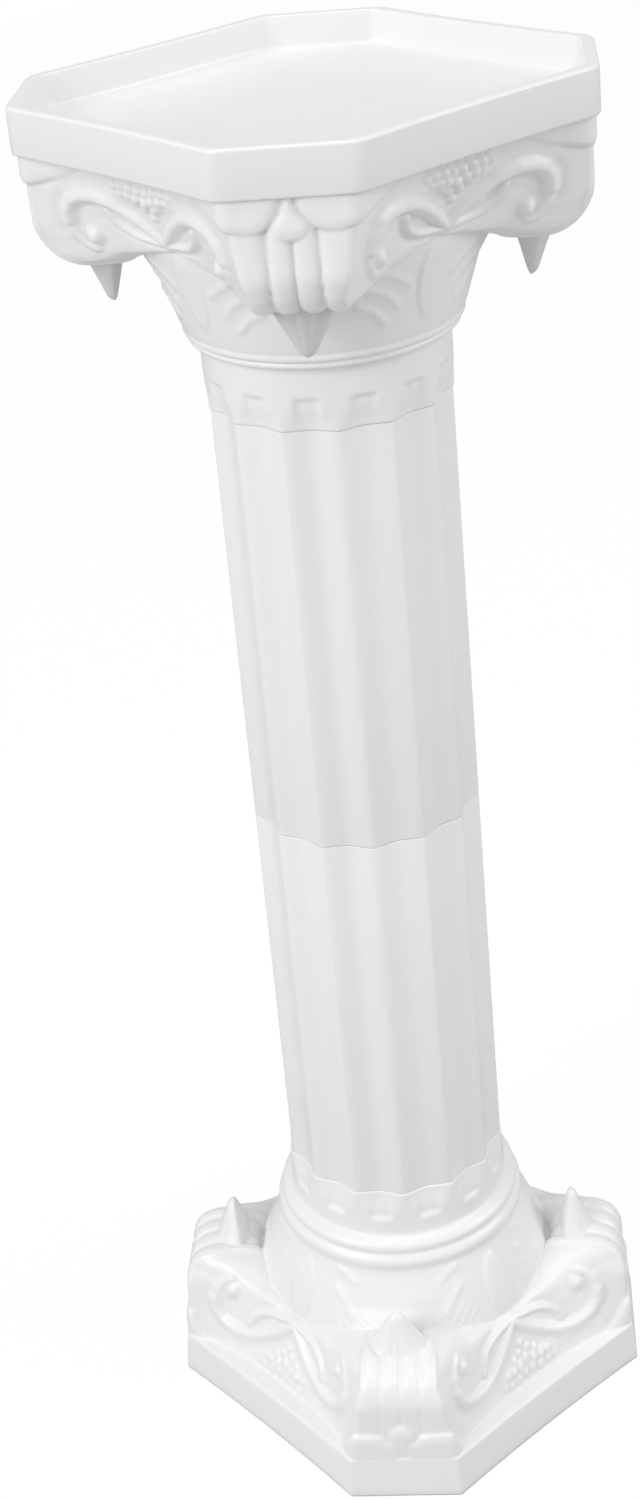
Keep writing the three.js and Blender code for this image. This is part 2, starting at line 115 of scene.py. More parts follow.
class ColumnTray(bpy.types.PropertyGroup):
    """Sizes of the loose tray."""
    across: length("Across", "Over the skirt, flat to flat", 265.0)
    chamfer: length("Chamfer", "Length that a corner takes off a side", 50.0)
    bow: length("Bow", "How far a long side bows in at its middle", 2.4)
    wall: length("Wall", "Thickness of the tray", 2.0)
    rim: length("Rim", "Outside of the skirt to the inside of the recess", 7.0)
    recess: length("Recess", "Depth of the recess", 19.5)
    draft: length("Draft", "How far the recess wall leans in", 1.0)
    rim_edge: length("Rim Edge", "Rounding of the rim's outer edge", 1.8)
    fillet: length("Fillet", "Rounding between the recess wall and its floor", 3.5)


class ColumnFinish(bpy.types.PropertyGroup):
    """The moulded plastic's colour and gloss, and the painted shade in its hollows."""
    white: colour("White", "Colour of the plastic", (0.86, 0.875, 0.868))
    # Painted shade: the colour that the relief's hollows and the capital's leaf tips turn
    # towards
    crevice_shade: colour("Crevice", "Colour that the deepest hollows turn towards",
                    (0.66, 0.67, 0.65))
    # Painted shade: the tray is the same white plastic made a little darker
    tray_shade_tone: number("Tray Tone", "Share of the plastic's brightness in the tray", 0.95)
    gloss: number("Roughness", "Roughness of the tubes and the tray", 0.3)
    carved_gloss: number("Carved Roughness", "Roughness of the base and the capital", 0.34)


class ColumnStudio(bpy.types.PropertyGroup):
    """Lamps, floor and backdrop."""
    sky: number("Sky", "Strength of the even light from all round", 0.55, 0, 4)
    key: number("Key", "Power of the large lamp on the left, in watts", 98.0, 0, 900)
    fill: number("Fill", "Power of the lamp on the right, in watts", 63.0, 0, 900)
    top: number("Top", "Power of the lamp overhead, in watts", 40.0, 0, 900)


def in_mm(group):
    """The group's values, with its lengths in millimetres."""
    sizes = {}
    for name, prop in group.bl_rna.properties.items():
        if name in ("rna_type", "name"):
            continue
        value = getattr(group, name)
        if getattr(prop, "unit", "NONE") == "LENGTH":
            value = round(value * 1000, 4)
        sizes[name] = value
    return SimpleNamespace(**sizes)


# ---- Node writing ----

class Value:
    """One node socket that does arithmetic."""

    def __init__(self, nodes, socket):
        self.nodes, self.socket = nodes, socket

    def __add__(self, other):
        return self.nodes.math("ADD", self, other)

    __radd__ = __add__

    def __mul__(self, other):
        return self.nodes.math("MULTIPLY", self, other)

    def __sub__(self, other):
        return self.nodes.math("SUBTRACT", self, other)

    def __rsub__(self, other):
        return self.nodes.math("SUBTRACT", other, self)

    def __truediv__(self, other):
        return self.nodes.math("DIVIDE", self, other)

    def __pow__(self, other):
        return self.nodes.math("POWER", self, other)

    def __abs__(self):
        return self.nodes.math("ABSOLUTE", self)


class Nodes:
    """A node tree that is written as expressions."""

    def __init__(self, tree):
        self.tree = tree

    def add(self, kind, *values, out=0, setting=None, **named):
        """Makes a node, fills its inputs and returns one of its outputs.

        A setting is a property's name and value. A named input's underscores stand for
        the spaces in its name.
        """
        node = self.tree.nodes.new(kind)
        if setting:
            setattr(node, *setting)
        for key, value in [*enumerate(values), *named.items()]:
            if value is None:
                continue
            socket = node.inputs[key.replace("_", " ") if isinstance(key, str) else key]
            if isinstance(value, Value):
                self.link(value, socket)
            elif socket.type == "RGBA" and len(value) == 3:
                socket.default_value = (*value, 1)
            else:
                socket.default_value = value
        return Value(self, node.outputs[out]) if len(node.outputs) else node

    def link(self, value, socket):
        self.tree.links.new(value.socket, socket)

    def math(self, operation, *values):
        return self.add("ShaderNodeMath", *values, setting=("operation", operation))

    def blend(self, factor, low, high):
        """A colour between two others, which are a mix node's seventh and eighth inputs."""
        return self.add("ShaderNodeMix", factor, *[None] * 5, low, high, out=2,
                        setting=("data_type", "RGBA"))

    def noise(self, place, scale, detail, **more):
        return self.add("ShaderNodeTexNoise", Vector=place, Scale=scale, Detail=detail, **more)


def cleared(owner):
    """Node writer for a material or a world, with its tree emptied."""
    owner.use_nodes = True
    owner.node_tree.nodes.clear()
    return Nodes(owner.node_tree)


# ---- Plastic ----

def moulded_plastic(name, finish, roughness, hollows=False, tone=1.0, even=False):
    """Glossy white moulding: faint cloudiness, uneven polish, a fine skin and, in the relief's
    hollows, painted shade.

    On a wide flat face the uneven polish shows as dark specks, so that one is even.
    """
    material = bpy.data.materials.new(name)
    n = cleared(material)
    place = n.add("ShaderNodeTexCoord", out="Object")
    cloud = n.noise(place, scale=9.0, detail=3.0, Roughness=0.55)
    speck = n.noise(place, scale=420.0, detail=2.0)
    white = [c * tone for c in finish.white]
    shade = n.blend(cloud * 0.7 + speck * 0.3, [c * 0.975 for c in white],
                    [min(1, c * 1.02) for c in white])
    # Painted shade: the relief's hollows turn towards the shade colour by each vertex's share
    if hollows:
        hollow_shade_share = n.add("ShaderNodeAttribute", out="Fac", setting=("attribute_name", "hollow"))
        shade = n.blend(hollow_shade_share, shade, finish.crevice_shade)
    polish = roughness
    if not even:
        polish = roughness + (cloud - 0.5) * 0.1 + (speck - 0.5) * 0.05
    skin = n.add("ShaderNodeBump", Strength=0.06, Distance=0.0004,
                 Height=n.noise(place, scale=160.0, detail=2.0))
    sink = n.add("ShaderNodeBump", Strength=0.1, Distance=0.003,
                 Height=n.noise(place, scale=14.0, detail=1.0), Normal=skin)
    shader = n.add("ShaderNodeBsdfPrincipled", IOR=1.49, Base_Color=shade,
                   Roughness=polish, Normal=sink)
    n.add("ShaderNodeOutputMaterial", Surface=shader)
    return material


def plastic_of(kind):
    """The plastic of one kind of piece, made once."""
    found = bpy.data.materials.get("plastic_" + kind)
    if found:
        return found
    finish = bpy.context.scene.column_finish
    if kind == "carved":
        return moulded_plastic("plastic_carved", finish, finish.carved_gloss, hollows=True)
    tray = kind == "tray"
    # Painted shade: a darker copy of the same white for the tray
    tone = finish.tray_shade_tone if tray else 1.0
    return moulded_plastic("plastic_" + kind, finish, finish.gloss, tone=tone, even=tray)


# ---- Plans ----
# A plan is an eight-sided outline: axis to the middle of a side, axis to a corner face
# along the diagonal, and half that face's width.

def octagon(across, chamfer, bow):
    return (across / 2 - bow, (across - chamfer) * HALF_ROOT, chamfer * HALF_ROOT)


def inset(plan, by):
    return (plan[0] - by, plan[1] - by, plan[2] - by * (math.sqrt(2) - 1))


def brim(plan, by):
    """The plan drawn in along its long sides only."""
    return (plan[0] - by, plan[1] - by * 0.1, plan[2] - by * 0.4)


class Columns:
    """The columns of a ring, for one quarter that is centred on +X.

    A column's share runs from -1 to 1 along the side, and towards runs from 0 at the
    side's end to 1 at the corner face's middle.
    """
    SIDE_ANGLE, CORNER_ANGLE = math.radians(34.2), math.radians(10.8)

    def __init__(self, side_cells, corner_cells):
        edge = np.linspace(0, 1, corner_cells + 1)
        ones = np.ones(corner_cells)
        self.share = np.concatenate(
            [-ones, np.linspace(-1, 1, side_cells + 1), ones[1:]])
        self.towards = np.concatenate(
            [edge[:0:-1], np.zeros(side_cells + 1), edge[1:-1]])
        self.on_corner = np.abs(self.share) >= 1

    def place(self, middle, corner, half):
        """Plan positions, for rows of plan values."""
        edge_x, edge_y = (corner + half) * HALF_ROOT, (corner - half) * HALF_ROOT
        share = self.share[None, :]
        along = half * (1 - self.towards[None, :])
        side_x = middle + (edge_x - middle) * share ** 2
        corner_x = (corner + along) * HALF_ROOT
        corner_y = (corner - along) * HALF_ROOT * np.sign(share)
        x = np.where(self.on_corner[None, :], corner_x, side_x)
        y = np.where(self.on_corner[None, :], corner_y, edge_y * share)
        return x, y

    def angle(self):
        """Angle of each column on a round row."""
        on_corner = np.sign(self.share) * self.CORNER_ANGLE * self.towards
        return self.SIDE_ANGLE * self.share + on_corner


def four_quarters(x, y, z):
    """The whole rings from one quarter's, as rows x columns x 3."""
    turns = [(x, y), (-y, x), (-x, -y), (y, -x)]
    return np.concatenate([np.stack([a, b, z], -1) for a, b in turns], 1)


def soften(values, passes=1):
    """Rounds a closed ring's sharp turns, along the columns."""
    for _ in range(passes):
        values = (np.roll(values, 1, 1) + 2 * values + np.roll(values, -1, 1)) / 4
    return values


def make_mesh(name, vertices, faces, hollow=None):
    """A smooth mesh from vertices in millimetres, with each vertex's share of painted shade.
    """
    mesh = bpy.data.meshes.new(name)
    mesh.from_pydata([[c / 1000 for c in v] for v in vertices], [], faces)
    mesh.shade_smooth()
    if hollow is not None:
        layer = mesh.attributes.new("hollow", "FLOAT", "POINT")
        layer.data.foreach_set("value", hollow.reshape(-1).astype(np.float32))
    return mesh


def grid_mesh(name, points, closed=True, hollow=None, caps=()):
    """A skin over rows of ring points in millimetres, facing outwards."""
    rows, columns, _ = points.shape
    row = np.arange(rows if closed else rows - 1)
    i, j = np.meshgrid(row, np.arange(columns), indexing="ij")
    below, above = i * columns, (i + 1) % rows * columns
    after = (j + 1) % columns
    faces = np.stack([below + j, below + after, above + after, above + j], -1).reshape(-1, 4)
    vertices = points.reshape(-1, 3)
    a, b, c, d = vertices[faces].transpose(1, 0, 2)
    volume = (a * np.cross(b, c)).sum() + (a * np.cross(c, d)).sum()
    if volume < 0:
        faces = faces[:, ::-1]
    faces, vertices = faces.tolist(), vertices.tolist()
    for at in caps:
        ring = list(range(at * columns, (at + 1) * columns))
        hub = len(vertices)
        vertices.append(points[at].mean(0).tolist())
        upward = (at != 0) if volume > 0 else (at == 0)
        for a, b in zip(ring, ring[1:] + ring[:1]):
            faces.append([hub, a, b] if upward else [hub, b, a])
    return make_mesh(name, vertices, faces, hollow)


def add_piece(name, mesh, material, body, node):
    """Shows a mesh in place of a node's solid, on that node's body."""
    piece = bpy.data.objects.new(name, mesh)
    bpy.context.scene.collection.objects.link(piece)
    mesh.materials.clear()
    mesh.materials.append(material)
    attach(piece, body)
    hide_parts(node)


# ---- Tray ----

# The skirt's lower edge, as (inwards, up), and the rounding of the rim's inner edge
SKIRT_EDGE = ((0, 1.2), (0.15, 0.5), (0.6, 0.05), (1.2, 0))
RIM_BEAD = 0.9


def quarter_turn(steps):
    """Steps of a rounded edge, as (1 - sine, 1 - cosine)."""
    turns = [math.radians(90 * i / steps) for i in range(steps + 1)]
    return [(1 - math.sin(turn), 1 - math.cos(turn)) for turn in turns]


def tray_mesh(size):
    """A shallow pan with a double-walled rim that hooks over the capital."""
    columns = Columns(64, 10)
    low, top = (level * 1000 for level in levels("tray"))
    plan = octagon(size.across, size.chamfer, size.bow)
    floor = top - size.recess
    inner, wall = size.rim, size.wall
    rows = []

    def row(by, z, share=1):
        rows.append((*(share * value for value in inset(plan, by)), z))

    for share in (0.3, 0.75):
        row(inner + size.draft + size.fillet, floor, share)
    for out, up in quarter_turn(6):
        row(inner + size.draft + size.fillet * out, floor + size.fillet * up)
    for share in (0.35, 0.7):
        row(inner + size.draft * (1 - share), floor + size.fillet + share * 12)
    for out, up in quarter_turn(4):
        row(inner - RIM_BEAD * up, top - RIM_BEAD * out)
    for out, up in quarter_turn(6):
        row(size.rim_edge * out, top - size.rim_edge * up)
    row(0, (top + low) / 2)
    for by, up in SKIRT_EDGE:
        row(by, low + up)
    row(wall, low + 0.3)
    row(wall, top - wall)
    row(inner - wall, top - wall)
    row(inner + size.draft - wall, floor)
    row(inner + size.draft, floor - wall)
    for share in (0.75, 0.3):
        row(inner + size.draft, floor - wall, share)
    table = np.array(rows)
    x, y = columns.place(table[:, 0:1], table[:, 1:2], table[:, 2:3])
    points = soften(four_quarters(x, y, np.repeat(table[:, 3:4], x.shape[1], 1)), 3)
    return grid_mesh("tray_moulding", points, closed=False, caps=(0, len(rows) - 1))


# ---- Fluted tubes ----

# Steps round a ring: 42 to each of 14 flutes, and fewer on the plain plugs
FLUTED_STEPS, PLUG_STEPS = 588, 96
FLUTE_POWER = 1.4


def flute_tree():
    """Geometry nodes that make one fluted tube with its plug."""
    tree = bpy.data.node_groups.new("fluted_tube", "GeometryNodeTree")
    face = tree.interface
    wanted = [("Radius", 68.2), ("Flute Depth", 4.3), ("Wall", 2.5), ("Edge", 0.5),
              ("Bottom", 0.0), ("Top", 250.0), ("Plug Radius", 61.1), ("Plug Wall", 2.2),
              ("Plug Length", 18.0), ("Flange", 2.5)]
    for name, default in wanted:
        socket = face.new_socket(name, in_out="INPUT", socket_type="NodeSocketFloat")
        socket.default_value = default / 1000
    face.new_socket("Flutes", in_out="INPUT", socket_type="NodeSocketInt").default_value = 14
    face.new_socket("Material", in_out="INPUT", socket_type="NodeSocketMaterial")
    face.new_socket("Geometry", in_out="OUTPUT", socket_type="NodeSocketGeometry")
    n = Nodes(tree)
    entry = tree.nodes.new("NodeGroupInput")
    given = {s.name: Value(n, s) for s in entry.outputs if s.name}

    def hoop(inner, outer, bottom, top, edge, resolution):
        """A ring of rectangular section with rounded edges."""
        path = n.add("GeometryNodeCurvePrimitiveCircle", Resolution=resolution,
                     Radius=(inner + outer) / 2)
        section = n.add("GeometryNodeCurvePrimitiveQuadrilateral",
                        Width=outer - inner, Height=top - bottom)
        section = n.add("GeometryNodeFilletCurve", setting=("mode", "POLY"), Curve=section,
                        Count=3, Radius=edge)
        skin = n.add("GeometryNodeCurveToMesh", Curve=path, Profile_Curve=section)
        lift = n.add("ShaderNodeCombineXYZ", Z=(top + bottom) / 2)
        return n.add("GeometryNodeTransform", Geometry=skin, Translation=lift)

    radius, depth, wall = given["Radius"], given["Flute Depth"], given["Wall"]
    bottom, flange_top = given["Bottom"], given["Bottom"] + given["Flange"]
    barrel = hoop(radius - wall, radius, bottom, given["Top"], given["Edge"], FLUTED_STEPS)
    parts = n.add("ShaderNodeSeparateXYZ", n.add("GeometryNodeInputPosition"))
    x, y, _ = (Value(n, s) for s in parts.socket.node.outputs)
    # From the Y axis, where a flute's middle lies
    angle = n.math("ARCTAN2", x, y)
    wave = n.math("COSINE", angle * given["Flutes"] / 2.0)
    share = abs(wave) ** FLUTE_POWER
    distance = (x * x + y * y) ** 0.5
    shrink = 0.0 - depth * share / distance
    offset = n.add("ShaderNodeCombineXYZ", x * shrink, y * shrink)
    barrel = n.add("GeometryNodeSetPosition", Geometry=barrel, Offset=offset)
    plug_outer = given["Plug Radius"]
    plug_inner = plug_outer - given["Plug Wall"]
    plug = hoop(plug_inner, plug_outer, bottom - given["Plug Length"], flange_top, 0.0003,
                PLUG_STEPS)
    flange = hoop(plug_inner, radius - depth - wall * 0.5, bottom + 0.0002, flange_top, 0.0002,
                  PLUG_STEPS)
    whole = n.add("GeometryNodeJoinGeometry")
    for part in (barrel, plug, flange):
        n.link(part, whole.socket.node.inputs[0])
    smooth = n.add("GeometryNodeSetShadeSmooth", Geometry=whole)
    real = n.add("GeometryNodeRealizeInstances", Geometry=smooth)
    dressed = n.add("GeometryNodeSetMaterial", Geometry=real, Material=given["Material"])
    n.add("NodeGroupOutput", dressed)
    return tree


def tube_mesh(name, tree, values):
    """Runs the tube's nodes once and keeps the plain mesh."""
    carrier = bpy.data.objects.new(name + "_nodes", bpy.data.meshes.new(name + "_empty"))
    bpy.context.scene.collection.objects.link(carrier)
    modifier = carrier.modifiers.new("tube", "NODES")
    modifier.node_group = tree
    for item in tree.interface.items_tree:
        if item.in_out == "INPUT" and item.name in values:
            modifier[item.identifier] = values[item.name]
    depsgraph = bpy.context.evaluated_depsgraph_get()
    mesh = bpy.data.meshes.new_from_object(carrier.evaluated_get(depsgraph))
    bpy.data.objects.remove(carrier)
    mesh.name = name
    return mesh


# ---- Base and capital ----

def mirrored(half):
    """A closed outline from its left half, which ends on the mirror line."""
    return half + [(-a, u) for a, u in reversed(half[:-1])]


# How the panel's lower edge falls from the middle of a side to the curl
EDGE_SHARE = [0, 0.2, 0.39, 0.556, 0.653, 0.764, 0.875, 1]
EDGE_FALL = [0, 0.1, 0.28, 0.39, 0.53, 0.74, 0.9, 1]
BELL_TOP, WEB_TOP = 101.2, 88.6

# Relief of the side panel, as (distance from the side's middle, place)
STEM = [(0, 107.5), (6, 112.5), (13, 118), (21, 123), (30, 127.3), (40, 129.3), (49, 128.8),
        (57, 125.8), (62, 120), (63.5, 113)]
VALLEY = [(20, 130), (30, 134.5), (42, 136), (54, 134), (63, 128.5), (68, 120), (69, 108)]
DISH = [(29, 118.5), (38, 120.5), (47, 119.5), (54, 115)]
LOOP = [(0, 106), (8, 107.3), (16, 108), (23, 109.5), (29, 112.7), (33, 117), (35, 122)]
CREASE = [(0, 102), (9, 103.6), (18, 104.3), (26, 106), (33, 110.5), (38, 117)]
CURL_IN = [(63.5, 113), (62.5, 106), (59, 100.5), (54, 97.5)]
# Each as (line, half width, height)
SUNK = ((VALLEY, 5, 1.1), (DISH, 7, 1.8), (CREASE, 2.6, 1.1))
RAISED = ((STEM, 6, 4.0), (CURL_IN, 5, 2.6), (LOOP, 3.8, 3.2))
TRIANGLE = mirrored([(-29, 160), (-29, 136), (-20, 130), (-10, 124), (0, 117)])
# Each as (distance from the side's middle, place, radius)
BERRIES = [(0.5, 122, 2.9), (3.6, 126.6, 3.1), (9.2, 129.2, 2.7), (0, 130.8, 3.5),
           (6.3, 132.8, 3.3), (12.4, 133.4, 3.2), (17.6, 133.6, 2.4), (3.2, 136.9, 3.4),
           (9.8, 137.8, 3.7), (16.4, 138.2, 3.3), (22.2, 137.6, 2.6), (0, 141.6, 3.2),
           (6.6, 142.4, 3), (13.4, 142.8, 3.1), (20.3, 142.3, 2.6)]

# Half width of the leaf on the bell, over its places
BELL_LEAF = ([54, 61, 70, 80, 90, 97, 101], [0, 4, 7.4, 8.6, 7, 3.6, 2])
ARC = 1.6       # millimetres to a degree round the bell

# Where the panel's flare ends and where its curl starts, as places
FLARE_END, CURL_START = 131.8, 110.3
CURL_CELLS, UNDER_CELLS, BELL_CELLS, NECK_CELLS = 30, 14, 25, 30
CORNER_HALF = 27.2      # half width of a corner face where its curl starts

# What differs between the two mouldings. Ledge is the wide end's place, reach a scroll's
# distance along the diagonal, and cloth the height of the drape's lip and of its swell.
# Panel and drift move the side's relief and the scrolls along the axis. A curl is a line
# of (distance along the diagonal less the reach, place). A lobe or bud is an outline, and
# a blade a line with its half width and height, of (distance round from the diagonal,
# place). Bell and neck are lines of (radius, place).
# Shade and leaf shade are shares of the painted shade in the relief's hollows and on the leaf
# tips
BASE_PATTERN = {
    "ledge": 140.3, "reach": 142.7, "cloth": (2.8, 1.1), "panel": -2.5, "drift": -3.0,
    "plug": False, "carving": 0.8, "shade": 0.5, "leaf_shade": 0.0, "face": 0.3,
    "pleats": 0.3, "rough": 0.7,
    "curl": [(0, 105.5), (-0.7, 101.6), (-2.4, 97.4), (-5.6, 92.8), (-10, 89.2), (-15, 87.1),
             (-20.2, 86)],
    "curl_under": [(-25.5, 85.7), (-32, 86.1), (-39, 87.2), (-45, 88.2), (-50, 88.6)],
    "lobe": [(0, 170), (0, 128), (9.3, 127.5), (11, 125.8), (15, 124.4), (22, 124),
             (28, 124), (31, 125.5), (34, 129), (39, 133.5), (45, 137.5), (52, 141.5),
             (60, 146), (60, 170)],
    "bud": mirrored([(-3, 170), (-3, 141), (-5.5, 134), (-9.3, 127), (-8.2, 123.5),
                     (-6, 120.5), (-3, 118.2), (0, 117.5)]),
    "blades": [([(44, 55), (37, 57.5), (31, 61.5)], 4.2, 0.9),
               ([(44, 69), (38, 75), (31, 83)], 4.2, 0.9)],
    "bell": [(94.3, BELL_TOP), (91.4, 90), (88.3, 80), (84.8, 70), (81.2, 60), (78.6, 53)],
    "neck": [(78.6, 53), (78.1, 51.2), (78.5, 49.5), (79.0, 47), (78.8, 45), (77.8, 43),
             (76.2, 41.4), (75.3, 40.2), (75.9, 38.6), (76.0, 36.5), (75.0, 34.5),
             (72.8, 32.8), (70.4, 31.6), (69, 31)],
}
CAPITAL_PATTERN = {
    "ledge": 150.4, "reach": 145.2, "cloth": (3.2, 1.2), "panel": 1.0, "drift": 0.0,
    "plug": True, "carving": 1.0, "shade": 1.0, "leaf_shade": 1.0, "face": 1.0,
    "pleats": 0.0, "rough": 0.25,
    "curl": [(0, 110.3), (-0.6, 106.5), (-1.9, 103.3), (-4.5, 98), (-9, 93), (-14.5, 89.4),
             (-20.2, 87.3)],
    "curl_under": [(-25.5, 86.4), (-32, 86.2), (-39, 87.2), (-45, 88.2), (-50, 88.6)],
    "lobe": [(3, 175), (3, 148), (5, 142), (9.3, 136.5), (11, 134), (14.5, 132),
             (20, 130.9), (25, 131.4), (29, 132.6), (34, 133.6), (40, 134.8), (50, 137.5),
             (60, 141), (68, 144.5), (80, 152), (80, 175)],
    "bud": mirrored([(-3, 175), (-3, 148), (-5, 142), (-9.3, 135.5), (-9, 132.5),
                     (-7.3, 129.8), (-4, 127.6), (0, 127)]),
    "blades": [([(43, 60), (36, 67), (26, 71.5)], 3.2, 1.3),
               ([(51, 68), (43, 76), (30, 81.5)], 3.2, 1.0),
               ([(57, 79), (47, 86), (34, 90)], 3.2, 1.0)],
    "bell": [(94.3, BELL_TOP), (91, 90), (88, 80), (85, 70), (82, 60), (79, 50.6), (77.6, 47)],
    "neck": [(77.6, 47), (76.9, 46), (77.3, 44.8), (77.2, 43), (76, 41.8), (74.2, 41),
             (74.9, 40), (75.0, 38.8), (74.0, 37.5), (71.5, 36.6), (69, 36.2)],
}


def nearest(a, u, line):
    """Distance from each point to a line."""
    best = np.full(a.shape, 1e9)
    for (a0, u0), (a1, u1) in zip(line, line[1:]):
        da, du = a1 - a0, u1 - u0
        along = np.clip(((a - a0) * da + (u - u0) * du) / (da * da + du * du), 0, 1)
        best = np.minimum(best, np.hypot(a - a0 - along * da, u - u0 - along * du))
    return best


def depth_inside(a, u, outline):
    """Distance inside a closed outline, and negative outside it."""
    closed = outline + outline[:1]
    inside = np.zeros(a.shape, bool)
    for (a0, u0), (a1, u1) in zip(closed, closed[1:]):
        if u0 != u1:
            inside ^= ((u0 > u) != (u1 > u)) & (a < (a1 - a0) * (u - u0) / (u1 - u0) + a0)
    distance = nearest(a, u, closed)
    return np.where(inside, distance, -distance)


def bead(distance, half_width, height):
    share = np.clip(distance / half_width, 0, 1)
    return height * (0.5 + 0.5 * np.cos(np.pi * share))


def step(value, low, high):
    share = np.clip((value - low) / (high - low), 0, 1)
    return share * share * (3 - 2 * share)


def panel_relief(a, u):
    """Scroll, loop and bunch of berries on a side panel."""
    h = np.zeros(a.shape)
    for line, half_width, depth in SUNK:
        h -= bead(nearest(a, u, line), half_width, depth)
    bunch = step(depth_inside(a, u, TRIANGLE), -1, 2)
    h = h * (1 - bunch) - 0.6 * bunch
    for line, half_width, height in RAISED:
        h = np.maximum(h, -0.5 + bead(nearest(a, u, line), half_width, height))
    knob = np.hypot((a - 51.5) / 7, (u - 104.5) / 8) * 8
    h = np.maximum(h, -0.5 + bead(knob, 8, 4.4))
    for centre, place, radius in BERRIES:
        far = np.hypot(a - centre, u - place)
        h = np.maximum(h, -0.6 + bead(far, radius * 1.3, radius * 0.85))
    return h


def corner_relief(round_by, u, edge, pattern):
    """Drape and fingers on a corner scroll's outer face, whose half width is edge."""
    inside = np.maximum(depth_inside(round_by, u, pattern["lobe"]),
                        depth_inside(round_by, u, pattern["bud"]))
    lip, swell = pattern["cloth"]
    proud = lip * step(inside, -0.3, 1.6) + swell * step(inside, 0, 6)
    proud = proud * (1 - 0.6 * step(round_by, 28, 58))
    fingers = np.zeros(u.shape)
    first_edge = 12.5
    outer = np.maximum(edge + 0.8 - first_edge, 8) / 2
    for centre, half in ((6.2, 6.3), (first_edge + outer, outer)):
        share = np.clip(np.abs(round_by - centre) / half, 0, 1)
        fingers = np.maximum(fingers, 2.6 * (1 - share ** 2.2) ** 0.75)
    low = step(u, 92, 101)
    fingers = fingers * (1 - (1 - pattern["face"]) * low) + 0.9 * (1 - pattern["face"]) * low
    pleats = np.cos(round_by * 2 * np.pi / 3.2) * (1 - low)
    return proud, fingers + pattern["pleats"] * pleats


def bell_relief(turn, u, pattern):
    """Leaf under each side's middle, and blades and a rough skin towards each corner."""
    arc = np.abs(turn) * ARC
    half = np.interp(u, *BELL_LEAF)
    h = np.maximum(bead(arc - half, 2.6, 1.1), bead(arc, 2.2, 0.9)) * step(half, 0, 4)
    h = np.maximum(h, 0.5 * step(half - arc, 0, 3))
    off = (45 - np.abs(turn)) * ARC
    for line, width, height in pattern["blades"]:
        h = np.maximum(h, bead(nearest(off, u, line), width, height))
    near = step(u, 80, 88) * step(off, 14, 22) * (1 - step(off, 48, 58))
    ripple = np.sin(off * 1.5 + u * 0.5) * np.sin(off * 0.6 - u * 1.3) + np.sin(off * 0.9 + u)
    return h + pattern["rough"] * 0.5 * near * ripple


def flute_share(angle, flutes):
    """Share of a flute's depth; a flute's middle lies on the Y axis."""
    return np.abs(np.cos((angle - np.pi / 2) * flutes / 2)) ** FLUTE_POWER


class Profile:
    """Rows of a base or a capital, from the wide end's underside to the inside.

    Each row holds its plan (middle, corner, half), its place at a side's middle and at
    a corner, how round it is, and its radius where it is round.
    """

    ROUND_PLAN, BELL_RADIUS = (95.0, 96.0, 18.0), 94.2

    def __init__(self, plan, place):
        self.rows = [self.flat(plan, place)]

    @classmethod
    def flat(cls, plan, place, corner_place=None, roundness=0.0):
        corner_place = place if corner_place is None else corner_place
        return np.array([*plan, place, corner_place, roundness, cls.BELL_RADIUS])

    @classmethod
    def circle(cls, radius, place, corner_place=None):
        corner_place = place if corner_place is None else corner_place
        return np.array([*cls.ROUND_PLAN, place, corner_place, 1.0, radius])

    def to(self, target, cells=1):
        start = self.rows[-1]
        for i in range(1, cells + 1):
            self.rows.append(start + (target - start) * i / cells)

    @property
    def last(self):
        return len(self.rows) - 1


def follow(points, count):
    """Even steps along a line of points, without its first."""
    line = np.array(points, float)
    gone = np.concatenate([[0], np.cumsum(np.hypot(*np.diff(line, axis=0).T))])
    at = np.linspace(0, gone[-1], count + 1)[1:]
    return np.stack([np.interp(at, gone, line[:, k]) for k in range(line.shape[1])], -1)


# Rows where the carving starts, where the curl meets the bell, where the carving ends, and
# the first row of the collar's flutes and of the inside
Marks = namedtuple("Marks", "first last_under last_relief fluted inside")


